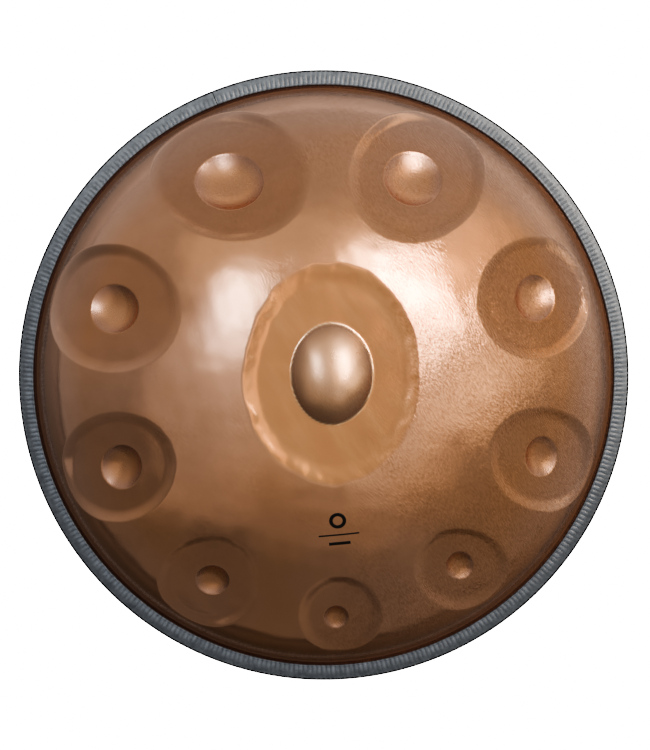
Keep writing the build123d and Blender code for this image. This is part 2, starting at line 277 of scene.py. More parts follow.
class Field:
    """One flattened tone field: its axes, its floor and its border."""

    def __init__(self, origin, along, outwards, chord_half, sizes, turn, lean, border, seed):
        self.origin = origin
        self.along = along
        self.outwards = outwards
        self.across = np.cross(outwards, along)
        self.half_length, self.half_width = sizes
        self.turn = radians(turn)
        self.border = border
        self.seed = seed
        rise = self.shell_rise() - self.half_width**2 / (2 * CROWN_RADIUS)
        crown = FLOOR_CROWN_SHARE * rise
        self.top = crown - FIELD_STEP
        self.radius = chord_half**2 / (2 * crown)
        self.shift = lean * self.radius / chord_half

    def shell_rise(self):
        """Height of the shell above the middle of the field's chord."""
        low = 0.0
        high = SEARCH_HEIGHT
        for _ in range(HALVINGS):
            middle = (low + high) / 2
            point = self.origin + self.outwards * middle
            if point[2] < TOP_APEX - drop(np.hypot(point[0], point[1])):
                low = middle
            else:
                high = middle
        return low

    def local(self, points):
        """Coordinates along, across and out of the field's plane."""
        offset = points - self.origin
        return offset @ self.along, offset @ self.across, offset @ self.outwards

    def share(self, points):
        """0 outside the border, rising to 1 where the wall meets the floor."""
        along, across, out = self.local(points)
        distance, angle = ellipse_distance(
            along, across, self.half_length, self.half_width, self.turn
        )
        distance = distance * (1 + wobble(angle, self.seed, self.border.wander))
        size = (self.half_length + self.half_width) / 2
        within = np.clip((1 - distance) * size / self.border.wall, 0, 1)
        within = 1 - (1 - within) ** 2 if self.border.steep else np.sin(within * pi / 2)
        return np.where(out > FIELD_REACH, within, 0)

    def level(self, along):
        """Height of the floor above the plane."""
        return self.top - self.radius + np.sqrt(self.radius**2 - (along - self.shift) ** 2)

    def press(self, points):
        """Points moved down to the floor inside the border, with a hammered wall and a wavy floor."""
        along, _, out = self.local(points)
        share = self.share(points)
        waves = ripple(points, *FLOOR_WAVES, self.seed + WAVE_SEED) * self.border.waviness
        facets = ripple(points, *WALL_FACETS, self.seed + FACET_SEED) * self.border.facets
        change = share * (self.level(along) - out)
        change = change + share**2 * (waves - self.border.waviness)
        change = change + facets * 4 * share * (1 - share)
        return points + change[..., None] * self.outwards

    def plan_point(self, radius, azimuth):
        """Position along and across of the floor point under a plan radius and azimuth."""
        point = unit(azimuth, 0) * radius
        base = self.origin + self.outwards * self.top
        lean = (point - base)[:2] @ self.outwards[:2] / self.outwards[2]
        point[2] = base[2] - lean
        along, across, _ = self.local(point)
        return along, across


def ring_field(seed, row):
    """A field of the ring, from its row in the table."""
    inner_radius = row.inner_radius * MM
    outer_radius = row.outer_radius * MM
    start = TOP_APEX - float(drop(inner_radius))
    end = TOP_APEX - float(drop(outer_radius))
    slope = atan2(start - end, outer_radius - inner_radius)
    origin = unit(row.azimuth, 0) * (inner_radius + outer_radius) / 2
    origin[2] = (start + end) / 2
    chord_half = sqrt((outer_radius - inner_radius) ** 2 + (start - end) ** 2) / 2
    along = unit(row.azimuth, slope)
    outwards = unit(row.azimuth, slope - pi / 2)
    sizes = (row.half_length * MM, row.half_width * MM)
    return Field(origin, along, outwards, chord_half, sizes, row.turn, FIELD_LEAN, RING_BORDER, seed)


def centre_field():
    """The field of the centre note, whose long axis runs along Y."""
    height = sqrt(CROWN_RADIUS**2 - DING_CENTRE[0] ** 2 - DING_CENTRE[1] ** 2)
    outwards = np.array([DING_CENTRE[0], DING_CENTRE[1], height]) / CROWN_RADIUS
    depth = sqrt(CROWN_RADIUS**2 - DING_FIELD[0] ** 2)
    origin = np.array([0, 0, TOP_APEX - CROWN_RADIUS]) + outwards * depth
    along = np.cross(np.cross(outwards, [0, 1, 0]), outwards)
    along /= np.linalg.norm(along)
    return Field(
        origin, along, outwards, DING_FIELD[0], DING_FIELD, 0, 0, CENTRE_BORDER, CENTRE_SEED
    )


def ellipse_distance(along, across, half_length, half_width, turn):
    """0 at the centre of an ellipse and 1 on its outline, and the angle around it."""
    first = (along * cos(turn) + across * sin(turn)) / half_length
    second = (across * cos(turn) - along * sin(turn)) / half_width
    return np.hypot(first, second), np.arctan2(second, first)


def cap(distance, half_length, height):
    """Height of a ball's cap at a distance from 0 at its centre to 1 on its edge."""
    radius = (half_length**2 + height**2) / (2 * height)
    inside = np.clip(distance, 0, 1) * half_length
    return np.sqrt(radius**2 - inside**2) - (radius - height)


def wobble(angle, seed, size):
    """Small change of an outline's size around it, as a hammer leaves it."""
    draw = np.random.default_rng(seed)
    total = np.zeros_like(angle)
    for lobes in OUTLINE_LOBES:
        total += np.sin(lobes * angle + draw.uniform(0, 2 * pi)) / sqrt(lobes)
    return total * size


def dimple_reach(points, field, dimple):
    """Distance from a dimple's middle: 0 there, 1 on its edge, and far out below the shell."""
    middle = field.plan_point(dimple.radius * MM, dimple.azimuth)
    along, across, out = field.local(points)
    distance, _ = ellipse_distance(
        along - middle[0],
        across - middle[1],
        dimple.half_length * MM,
        dimple.half_width * MM,
        radians(dimple.turn),
    )
    return np.where(out > FIELD_REACH, distance, FAR_OUT)


def press_dimple(points, field, dimple):
    """Points with one dimple pushed into a field's floor."""
    distance = dimple_reach(points, field, dimple)
    half_length = dimple.half_length * MM
    depth = cap(distance, half_length, DIMPLE_DEPTH_SHARE * half_length) * (distance < 1)
    return points - depth[..., None] * field.outwards


def ding_reach(points):
    """Distance from the middle of the centre note's dome: 0 there and 1 on its edge."""
    along, across, out = CENTRE.local(points)
    distance, _ = ellipse_distance(along, across, *DING_CAP, 0)
    return np.where(out > FIELD_REACH, distance, FAR_OUT)


def raise_ding(points):
    """Points with the leaning oval dome of the centre note raised, and the bead at its foot."""
    distance = ding_reach(points)
    from_edge = (1 - distance) * DING_CAP[1]
    along, _, _ = CENTRE.local(points)
    lean = 1 - DING_LEAN * along / DING_CAP[0]
    rise = cap(distance, DING_CAP[0], DING_HEIGHT) * (distance < 1) * lean
    rise = rise + BEAD_HEIGHT * np.exp(-((from_edge / BEAD_WIDTH) ** 2))
    return points + rise[..., None] * CENTRE.outwards


CENTRE = centre_field()
FIELDS = [ring_field(RING_SEED + number, row) for number, row in enumerate(RING_FIELDS)]


def shape_top(plain):
    """The upper shell's outer face, from points on the plain dome."""
    points = plain
    for field in [CENTRE, *FIELDS]:
        points = field.press(points)
    plan = np.hypot(plain[..., 0], plain[..., 1])
    relief = ripple(plain, *HAMMER_MARKS, TOP_SEED) * HAMMER_DEPTH
    fade = smooth((FLANGE_RADIUS - CLEAR_RIM - plan) / FADE_WIDTH)
    points = points + (relief * fade)[..., None] * normals_of(points)
    for field, dimple in zip(FIELDS, DIMPLES):
        points = press_dimple(points, field, dimple)
    points = raise_ding(points)
    points[..., 2] = np.minimum(points[..., 2], TOP_HIGH.z)
    return points


def top_marks(plain):
    """Where the metal looks different: fields darkened by painted shade, scratched fields, dimples,
    the centre note, and the painted highlight on the dome's bead.
    """
    shade = np.zeros(plain.shape[:-1])
    hollow = np.zeros(plain.shape[:-1])
    scratched = np.zeros(plain.shape[:-1])
    for field, row, dimple in zip(FIELDS, RING_FIELDS, DIMPLES):
        share = field.share(plain)
        shade = np.maximum(shade, share * row.darkening)
        scratched = np.maximum(scratched, share * row.scratching)
        hollow = np.maximum(hollow, 1 - dimple_reach(plain, field, dimple))
    ding = 1 - ding_reach(plain)
    return {
        "field_shade": shade,
        "scratched": scratched,
        "dimple": hollow,
        "centre": CENTRE.share(plain) * (ding < 0),
        "ding": np.maximum(ding, 0),
        # Painted highlight along the bead at the dome's foot
        "bead_highlight": np.exp(-((ding * DING_CAP[1] / BEAD_HIGHLIGHT_WIDTH) ** 2)),
    }


def normals_of(grid):
    """Unit normals of a grid of points, on the side of +Z."""
    rows, columns = np.gradient(grid, axis=0), np.gradient(grid, axis=1)
    normals = np.cross(columns, rows)
    normals /= np.linalg.norm(normals, axis=-1, keepdims=True) + 1e-12
    return normals * np.where(normals[..., 2:] < 0, -1, 1)


# --- Meshes ---
def make_mesh(name, points, faces, material, flat=False):
    """Mesh object from points and faces, smooth shaded, with one material."""
    mesh = bpy.data.meshes.new(name)
    mesh.from_pydata([tuple(p) for p in points], [], faces)
    mesh.validate()
    mesh.update()
    mesh.polygons.foreach_set("use_smooth", [not flat] * len(mesh.polygons))
    mesh.materials.append(material)
    piece = bpy.data.objects.new(name, mesh)
    bpy.context.scene.collection.objects.link(piece)
    return piece


def square_rings(rings):
    """Rings laid out as nested squares on a grid: ring number and azimuth of each grid point."""
    steps = np.arange(-rings, rings + 1)
    column, row = np.meshgrid(steps, steps)
    ring = np.maximum(abs(column), abs(row))
    safe = np.maximum(ring, 1)
    sideways = abs(column) >= abs(row)
    side = np.where(sideways, row / safe * np.sign(column), -column / safe * np.sign(row))
    quarter = np.where(sideways, np.where(column >= 0, 0, 2), np.where(row >= 0, 1, 3))
    return ring, (quarter + side / 2) * pi / 2


def grid_faces(index, flip):
    """Quads of a grid of point indices."""
    quads = [index[:-1, :-1], index[:-1, 1:], index[1:, 1:], index[1:, :-1]]
    if flip:
        quads.reverse()
    return np.stack([q.ravel() for q in quads], 1).tolist()


def border_of(index):
    """Indices around the border of a grid, counter-clockwise."""
    return np.concatenate([index[0, :-1], index[:-1, -1], index[-1, :0:-1], index[:0:-1, 0]])


def edge_faces(rim, rim_inside):
    """Faces of the narrow edge between the borders of a fine grid and of the thinned one."""
    faces = []
    for step in range(len(rim_inside)):
        above = [rim[(step * THINNING + k) % len(rim)] for k in range(THINNING, -1, -1)]
        below = [rim_inside[step], rim_inside[(step + 1) % len(rim_inside)]]
        faces.append([int(index) for index in above + below])
    return faces


def mark_points(piece, name, values):
    """Stores a number on each point of a mesh."""
    layer = piece.data.attributes.new(name, "FLOAT", "POINT")
    layer.data.foreach_set("value", values)


def build_top_shell(material):
    """Upper shell: a fine outer face, a coarser inner face one sheet thickness in, and the edge."""
    rings = meridian(*TOP_RINGS)
    ring, azimuth = square_rings(len(rings) - 1)
    radius = rings[ring, 0]
    height = rings[ring, 1] + TOP_APEX
    dome = np.stack([radius * np.cos(azimuth), radius * np.sin(azimuth), height], -1)
    outer = shape_top(dome)
    inner = (outer - normals_of(outer) * SHEET)[::THINNING, ::THINNING]
    inner[..., 2] = np.maximum(inner[..., 2], TOP_LOW.z)
    outer_index = np.arange(radius.size).reshape(radius.shape)
    inner_index = np.arange(inner[..., 0].size).reshape(inner.shape[:2]) + radius.size
    faces = grid_faces(outer_index, False) + grid_faces(inner_index, True)
    faces += edge_faces(border_of(outer_index), border_of(inner_index))
    points = np.concatenate([outer.reshape(-1, 3), inner.reshape(-1, 3)])
    piece = make_mesh("top_shell_sheet", points, faces, material)
    for name, values in top_marks(dome).items():
        mark_points(piece, name, np.concatenate([values.ravel(), np.zeros(inner_index.size)]))
    return piece


def revolve(name, profile, azimuths, material, closed, shape=None):
    """Mesh swept from a closed profile of (radius, height) around Z; shape may move its points."""
    radius, angle = np.meshgrid(profile[:, 0], azimuths)
    height = np.broadcast_to(profile[:, 1], radius.shape)
    points = np.stack([radius * np.cos(angle), radius * np.sin(angle), height], -1)
    if shape is not None:
        points = shape(points, angle)
    around, along = radius.shape
    index = np.arange(around * along).reshape(around, along)
    first = index if closed else index[:-1]
    second = np.roll(index, -1, axis=0) if closed else index[1:]
    quads = [first, np.roll(first, -1, axis=1), np.roll(second, -1, axis=1), second]
    faces = np.stack([q.ravel() for q in quads], 1).tolist()
    if not closed:
        faces += [index[0, ::-1].tolist(), index[-1].tolist()]
    return make_mesh(name, points.reshape(-1, 3), faces, material)


def arc_points(centre, radius, start, end, count):
    """Points (radius, height) on a circle, with angles in degrees from the outward direction."""
    angles = np.radians(np.linspace(start, end, count))
    return np.stack([centre[0] + radius * np.cos(angles), centre[1] + radius * np.sin(angles)], 1)


def bottom_face(skin, detail):
    """One face of the lower shell, from the top of its neck out to the edge of its flange."""
    slope = asin(REST_OUTER / (CROWN_RADIUS - REST_BEND))
    heights = np.linspace(NECK_TOP, PORT_BEND, NECK_POINTS)[:-1]
    neck = np.stack([np.full(len(heights), PORT_RADIUS + skin), heights], 1)
    lip = arc_points((REST_INNER, PORT_BEND), PORT_BEND - skin, 180, 270, LIP_POINTS * detail)
    end = 270 + np.degrees(slope)
    rest = arc_points((REST_OUTER, REST_BEND), REST_BEND - skin, 270, end, REST_POINTS * detail)
    counts = [count * detail for count in BOTTOM_RINGS]
    rings = meridian(*counts, BOTTOM_FLANGE_RINGS, slope)[1:]
    rings = np.stack([rings[:, 0], BOTTOM_APEX - rings[:, 1]], 1)
    if skin:
        tangent = np.gradient(rings, axis=0)
        tangent /= np.linalg.norm(tangent, axis=1, keepdims=True)
        rings = rings + skin * np.stack([-tangent[:, 1], tangent[:, 0]], 1)
        rings[:, 1] = np.minimum(rings[:, 1], BOTTOM_HIGH.z)
        rings[-1, 0] = FLANGE_RADIUS
    return np.concatenate([neck, lip, rest, rings])


def planish(points, _):
    """Points of the lower shell lightly hammered, away from its resting ring and its flange."""
    plan = np.hypot(points[..., 0], points[..., 1])
    fade = smooth((plan - PLANISH_START) / PLANISH_START_FADE)
    fade = fade * smooth((PLANISH_END - plan) / FADE_WIDTH)
    outwards = points - np.array([0, 0, BOTTOM_APEX + CROWN_RADIUS])
    outwards /= np.linalg.norm(outwards, axis=-1, keepdims=True)
    relief = ripple(points, *HAMMER_MARKS, BOTTOM_SEED) * fade * HAMMER_DEPTH
    return points + relief[..., None] * outwards


def build_bottom_shell(material):
    """Lower shell: crown, resting ring and port neck, finer outside than inside."""
    profile = np.concatenate([bottom_face(0, 2), bottom_face(SHEET, 1)[::-1]])
    azimuths = np.linspace(0, 2 * pi, BOTTOM_SIDES, endpoint=False)
    return revolve("bottom_shell_sheet", profile, azimuths, material, True, planish)


def trim_face(side, inset):
    """Outer face of one leg of the trim, 1 for the upper and -1 for the lower, outwards."""
    top = TRIM_HIGH.z - inset if side > 0 else TRIM_LOW.z + inset
    inner = arc_points((TRIM_INNER + TRIM_BEAD, -TRIM_BEAD), TRIM_BEAD, 180, 60, TRIM_BEAD_POINTS)
    start = TRIM_INNER + TRIM_FACE_START
    end = TRIM_OUTER - inset - TRIM_CORNER
    steps = np.linspace(0, 1, TRIM_FACE_POINTS)
    heights = -TRIM_GROOVE - TRIM_FALL * steps**TRIM_FALL_POWER
    flat = np.stack([start + (end - start) * steps, heights], 1)
    centre = (end, heights[-1] - TRIM_CORNER)
    corner = arc_points(centre, TRIM_CORNER, TRIM_CORNER_START, 0, TRIM_CORNER_POINTS)
    points = np.concatenate([inner, flat, corner])
    points[:, 1] = top + side * points[:, 1]
    return points


def trim_profile(inset):
    """Closed U profile of the trim, counter-clockwise from the inner end of its lower leg."""
    slot = [
        [TRIM_INNER, RIM_TOP],
        [FLANGE_RADIUS, RIM_TOP],
        [FLANGE_RADIUS, RIM_BOTTOM],
        [TRIM_INNER, RIM_BOTTOM],
    ]
    return np.concatenate([trim_face(-1, inset), trim_face(1, inset)[::-1], slot])


def rib(points, angle):
    """Points of the trim with the valleys between its ribs pressed in."""
    middle = (TRIM_HIGH.z + TRIM_LOW.z) / 2
    half_height = (TRIM_HIGH.z - TRIM_LOW.z) / 2
    plan = np.hypot(points[..., 0], points[..., 1])
    into_leg = abs(points[..., 2] - middle) - half_height + TRIM_LEG
    face = smooth(into_leg / RIB_LEG_FADE)
    start = smooth((plan - TRIM_INNER - RIB_START) / RIB_START_FADE)
    end = smooth((TRIM_OUTER - RIB_END - plan) / RIB_END_FADE)
    end = RIB_END_SHARE + (1 - RIB_END_SHARE) * end
    uneven = RIB_LOW_SHARE + (1 - RIB_LOW_SHARE) * np.cos(2 * angle) ** 2
    near_joint = smooth((abs(angle - JOINT_AZIMUTH) % (2 * pi)) / RIB_JOINT_FADE)
    shake = ripple(points, *RIB_WAVES, RIB_SEED, waves=32) * RIB_SHAKE
    valley = 0.5 - 0.5 * np.cos(RIBS * angle + shake)
    depth = RIB_DEPTH * valley**2 * face * start * end * uneven * near_joint
    points = points.copy()
    points[..., 2] -= np.sign(points[..., 2] - middle) * depth
    return points


def build_edge_trim(material, shaded_edge_material):
    """Rubber trim with ribs all the way round, open at its joint."""
    half_gap = JOINT_GAP / TRIM_OUTER / 2
    start = JOINT_AZIMUTH + half_gap
    azimuths = np.linspace(start, JOINT_AZIMUTH + 2 * pi - half_gap, RIBS * POINTS_PER_RIB)
    profile = trim_profile(0)
    piece = revolve("edge_trim_rubber", profile, azimuths, material, False, rib)
    plan, angle = np.meshgrid(profile[:, 0], azimuths)
    # Painted shade between the ribs, stored on the points
    valley = (0.5 - 0.5 * np.cos(RIBS * angle)) ** 2 * smooth((VALLEY_END - plan) / VALLEY_FADE)
    mark_points(piece, "valley", (valley * VALLEY_SHADE_SHARE).ravel())
    piece.data.materials.append(shaded_edge_material)
    for face in piece.data.polygons:
        # Painted shade on the faces of the outer edge
        if face.center.xy.length > TRIM_OUTER - EDGE_SHADE_WIDTH:
            face.material_index = 1
    return piece


def build_joint_bond(material):
    """Cement in the joint of the trim, a little below the surface of the rubber."""
    half_gap = JOINT_GAP / TRIM_OUTER / 2
    azimuths = np.linspace(JOINT_AZIMUTH - half_gap, JOINT_AZIMUTH + half_gap, 3)
    return revolve("trim_joint_cement", trim_profile(CEMENT_INSET), azimuths, material, False)


def mark_strips():
    """The mark's ring and bars, each as its two long outlines: (down, across) from the ring."""
    turns = np.linspace(0, 2 * pi, MARK_SIDES + 1)
    circle = np.stack([np.cos(turns), np.sin(turns)], 1)
    strips = [tuple(radius * circle for radius in MARK_RING)]
    for distance, length, width in MARK_BARS:
        reach = np.linspace(-length / 2, length / 2, BAR_POINTS) * MM
        edges = ((distance - width / 2) * MM, (distance + width / 2) * MM)
        strips.append(tuple(np.stack([np.full(BAR_POINTS, edge), reach], 1) for edge in edges))
    return strips


def slab_faces(rows, columns, start):
    """Faces of a thin closed slab: its lower grid of points, its upper grid and the four sides."""
    shift = rows * columns
    lower = np.arange(shift).reshape(rows, columns) + start
    loop = border_of(lower)
    ahead = np.roll(loop, -1)
    sides = np.stack([ahead, loop, loop + shift, ahead + shift], 1).tolist()
    return grid_faces(lower, False) + grid_faces(lower + shift, True) + sides


def build_mark(material):
    """Generic mark: a plain ring over two plain bars, lying on the hammered crown."""
    slope = asin(MARK_RADIUS / CROWN_RADIUS)
    outwards = unit(MARK_AZIMUTH, slope - pi / 2)
    down = unit(MARK_AZIMUTH, slope)
    across = np.cross(outwards, down)
    crown_centre = np.array([0, 0, TOP_APEX - CROWN_RADIUS])
    points = []
    faces = []
    for near, far in mark_strips():
        rows = np.linspace(near, far, STRIP_ROWS)
        faces.extend(slab_faces(*rows.shape[:2], len(points)))
        normal = outwards * CROWN_RADIUS + rows[..., :1] * down + rows[..., 1:] * across
        normal /= np.linalg.norm(normal, axis=-1, keepdims=True)
        ball = crown_centre + normal * CROWN_RADIUS
        relief = ripple(ball, *HAMMER_MARKS, TOP_SEED) * HAMMER_DEPTH
        for lift in (INK_FOOT, INK_THICKNESS):
            points.extend((ball + normal * (relief + lift)[..., None]).reshape(-1, 3))
    return make_mesh("printed_mark_ink", points, faces, material)


# --- Materials ---
RANGE_INPUTS = ("From Min", "From Max", "To Min", "To Max")
BRUSH_TURN = radians(-56)
BRUSH_SIZE = (3.6 * MM, 0.85 * MM, 3.6 * MM)
PIT_DEPTH = 0.012 * MM
TOP_SCRATCH_DEPTH = 0.32 * MM
BOTTOM_SCRATCH_DEPTH = 0.12 * MM

# Plan radii between which the sheet gets a painted pale reflection, the flank starts, and painted
# shade darkens its foot
PALE_REFLECTION_RADII = (205 * MM, 240 * MM)
FLANK_RADII = (243 * MM, 250 * MM)
FOOT_SHADE_RADII = (250.6 * MM, 252.2 * MM)

# Noise sizes, in waves per metre
DRIFT_SCALE = 7
PATCH_SCALE = 12
CLOUD_SCALE = 14
POLISH_SCALE = 45
PIT_SCALE = 420

COPPER_WARM = (0.85, 0.455, 0.25)
COPPER_PINK = (0.82, 0.49, 0.335)
COPPER_CLOUD = tuple(0.7 * part for part in COPPER_WARM)
# Painted pale reflection near the rim
COPPER_PALE_REFLECTION = (0.78, 0.57, 0.48)
CENTRE_TONE = (0.83, 0.42, 0.20)
# Painted glints: bright streaks along the brushing
GLINT_STREAK_TONE = (0.97, 0.58, 0.29)
# Painted shade on the fields' floors
FIELD_SHADE_TONE = (0.43, 0.21, 0.12)
DIMPLE_RIM_TONE = (0.72, 0.44, 0.33)
DIMPLE_TONE = (0.94, 0.51, 0.28)
# Painted shade at the edge of the centre note's dome
DOME_SHADED_RIM_TONE = (0.52, 0.33, 0.24)
DOME_TONE = (0.83, 0.52, 0.33)
# Painted highlight along the bead
BEAD_HIGHLIGHT_TONE = (0.97, 0.70, 0.46)
# Painted reflection of the dark trim and the floor on the flank
FLANK_REFLECTION_TONE = (0.46, 0.27, 0.19)
# Painted shade in the crease at the flank's foot
FOOT_SHADE_TONE = (0.11, 0.05, 0.035)
SCRATCH_TONE = (0.40, 0.19, 0.09)

# Dark and light rubber: where the ribs start, beyond them, and the lighter tones of painted light
# towards +Y and +X
RUBBER_INNER = ((0.115, 0.138, 0.168), (0.240, 0.280, 0.330))
RUBBER_OUTER = ((0.080, 0.094, 0.113), (0.155, 0.178, 0.206))
RUBBER_LIT_SIDE = ((0.21, 0.25, 0.29), (0.43, 0.50, 0.56))
# Painted shade between the ribs
RUBBER_VALLEY_SHADE_TONE = (0.05, 0.06, 0.075)
RUBBER_OUTER_RADII = (258 * MM, 262 * MM)
# Painted shade: near-black tones of the band round the outer edge
EDGE_SHADE_TONES = ((0.003, 0.003, 0.004), (0.012, 0.013, 0.015))


class Nodes:
    """A new material's node tree, with short ways to add and join nodes."""

    def __init__(self, name):
        self.material = bpy.data.materials.new(name)
        self.material.use_nodes = True
        self.tree = self.material.node_tree
        self.shader = self.tree.nodes["Principled BSDF"]
        self.place = self.add("ShaderNodeTexCoord").outputs["Object"]

    def add(self, kind, **settings):
        """Adds a node; settings are its properties."""
        node = self.tree.nodes.new(kind)
        for key, value in settings.items():
            setattr(node, key, value)
        return node

    def join(self, output, target):
        """Links an output to an input."""
        self.tree.links.new(output, target)

    def noise(self, scale, detail=3.0, roughness=0.5, place=None):
        """Noise texture at a place, which is the row frame if left out; scale is per metre there."""
        node = self.add("ShaderNodeTexNoise")
        node.inputs["Scale"].default_value = scale
        node.inputs["Detail"].default_value = detail
        node.inputs["Roughness"].default_value = roughness
        self.join(place or self.place, node.inputs["Vector"])
        return node.outputs["Fac"]

    def spread(self, value, low, high, from_low=0.0, from_high=1.0):
        """Maps a value from one range to another."""
        node = self.add("ShaderNodeMapRange")
        for key, number in zip(RANGE_INPUTS, (from_low, from_high, low, high)):
            node.inputs[key].default_value = number
        self.join(value, node.inputs["Value"])
        return node.outputs["Result"]

    def blend(self, share, first, second):
        """Mix of two colours, each a socket or a tuple; 6, 7 and 2 are its colour sockets."""
        node = self.add("ShaderNodeMix", data_type="RGBA")
        self.join(share, node.inputs["Factor"])
        for socket, colour in ((node.inputs[6], first), (node.inputs[7], second)):
            if isinstance(colour, tuple):
                socket.default_value = (*colour, 1)
            else:
                self.join(colour, socket)
        return node.outputs[2]

    def attribute(self, name):
        """A number stored on the mesh's points."""
        return self.add("ShaderNodeAttribute", attribute_name=name).outputs["Fac"]

    def position(self):
        """X, Y and the plan radius of the shaded point."""
        split = self.add("ShaderNodeSeparateXYZ")
        self.join(self.place, split.inputs[0])
        flat = self.add("ShaderNodeCombineXYZ")
        self.join(split.outputs["X"], flat.inputs["X"])
        self.join(split.outputs["Y"], flat.inputs["Y"])
        length = self.add("ShaderNodeVectorMath", operation="LENGTH")
        self.join(flat.outputs[0], length.inputs[0])
        return split.outputs["X"], split.outputs["Y"], length.outputs["Value"]

    def maths(self, operation, first, second):
        """Arithmetic on sockets or numbers."""
        node = self.add("ShaderNodeMath", operation=operation)
        for socket, value in zip(node.inputs, (first, second)):
            if isinstance(value, (int, float)):
                socket.default_value = value
            else:
                self.join(value, socket)
        return node.outputs[0]

    def slanting(self):
        """Place stretched along the direction in which the sheets were brushed."""
        turn = self.add("ShaderNodeMapping", vector_type="TEXTURE")
        turn.inputs["Rotation"].default_value = (0, 0, BRUSH_TURN)
        turn.inputs["Scale"].default_value = BRUSH_SIZE
        self.join(self.place, turn.inputs["Vector"])
        return turn.outputs["Vector"]

    def bump(self, height, distance, normal=None):
        """Bump of a height between 0 and 1 times a distance in metres, on top of another normal."""
        node = self.add("ShaderNodeBump")
        node.inputs["Strength"].default_value = 1.0
        node.inputs["Distance"].default_value = distance
        self.join(height, node.inputs["Height"])
        if normal is not None:
            self.join(normal, node.inputs["Normal"])
        return node.outputs["Normal"]


def sheet_tint(nodes, across, ahead, plan):
    """Tint of the plain sheet: it drifts from warm to pink, with a painted warm cast towards +X, is
    cloudy, and has a painted pale reflection at the sides.
    """
    # The noise drifts at random; the term in X is a painted warm cast of the light, warmer towards +X
    drift = nodes.maths("ADD", nodes.noise(DRIFT_SCALE, 2), nodes.maths("MULTIPLY", across, -0.25))
    tint = nodes.blend(nodes.spread(drift, 0, 1, 0.27, 0.62), COPPER_WARM, COPPER_PINK)
    cloud = nodes.spread(nodes.noise(CLOUD_SCALE, 5, 0.6), 0, 0.4, 0.45, 0.75)
    tint = nodes.blend(cloud, tint, COPPER_CLOUD)
    # Painted pale reflection: paler near the rim at the sides and behind, not in front
    side = nodes.spread(plan, 0, 0.7, *PALE_REFLECTION_RADII)
    behind = nodes.spread(ahead, 0, 1, -0.18, -0.02)
    return nodes.blend(nodes.maths("MULTIPLY", side, behind), tint, COPPER_PALE_REFLECTION)


def note_tint(nodes, tint, slanting):
    """Tint of the notes: a warm centre with painted glints in streaks, fields darkened by painted
    shade, bright dimples, a dome with painted shade at its edge and a painted highlight on its bead.
    """
    middle = nodes.spread(nodes.attribute("centre"), 0, 0.8, 0.0, 0.35)
    tint = nodes.blend(middle, tint, CENTRE_TONE)
    # Painted glints: bright streaks along the brushing in the centre field
    glint_streaks = nodes.spread(nodes.noise(0.055, 3, 0.6, slanting), 0, 0.4, 0.48, 0.75)
    tint = nodes.blend(nodes.maths("MULTIPLY", glint_streaks, middle), tint, GLINT_STREAK_TONE)
    # Painted shade: the fields' floors darker, as much as their darkening says
    tint = nodes.blend(nodes.attribute("field_shade"), tint, FIELD_SHADE_TONE)
    dimple = nodes.attribute("dimple")
    tint = nodes.blend(nodes.spread(dimple, 0, 0.7, 0.0, 0.05), tint, DIMPLE_RIM_TONE)
    tint = nodes.blend(nodes.spread(dimple, 0, 0.7, 0.1, 0.45), tint, DIMPLE_TONE)
    ding = nodes.attribute("ding")
    # Painted shade: the dome darker and greyer towards its edge
    dome = nodes.blend(nodes.spread(ding, 0, 1, 0.0, 0.4), DOME_SHADED_RIM_TONE, DOME_TONE)
    tint = nodes.blend(nodes.spread(ding, 0, 0.9, 0.0, 0.02), tint, dome)
    # Painted highlight: a bright line along the bead at the dome's foot
    return nodes.blend(nodes.spread(nodes.attribute("bead_highlight"), 0, 0.9), tint, BEAD_HIGHLIGHT_TONE)


def sheet_polish(nodes, flank, worked):
    """Roughness: uneven all over, duller on the flank, and duller in the dimples and on the dome."""
    polish = nodes.spread(nodes.noise(POLISH_SCALE, 4, 0.6), 0.14, 0.21, 0.3, 0.7)
    if worked:
        dimple = nodes.spread(nodes.attribute("dimple"), 0, 0.10, 0.0, 0.1)
        dome = nodes.spread(nodes.attribute("ding"), 0, 0.12, 0.0, 0.1)
        polish = nodes.maths("ADD", nodes.maths("ADD", polish, dimple), dome)
    return nodes.maths("ADD", polish, nodes.maths("MULTIPLY", flank, 0.2))


def scratched_patches(nodes, across, worked):
    """Where the sheet is scratched: patches, more of them on the right, and some of the fields."""
    side = nodes.maths("ADD", nodes.noise(PATCH_SCALE, 2), nodes.maths("MULTIPLY", across, 1.2))
    patches = nodes.spread(side, 0.1, 1.0, 0.42, 0.72)
    if worked:
        patches = nodes.maths("MAXIMUM", patches, nodes.attribute("scratched"))
        smoother = nodes.spread(nodes.attribute("centre"), 1.0, 0.35)
        patches = nodes.maths("MULTIPLY", patches, smoother)
    return patches


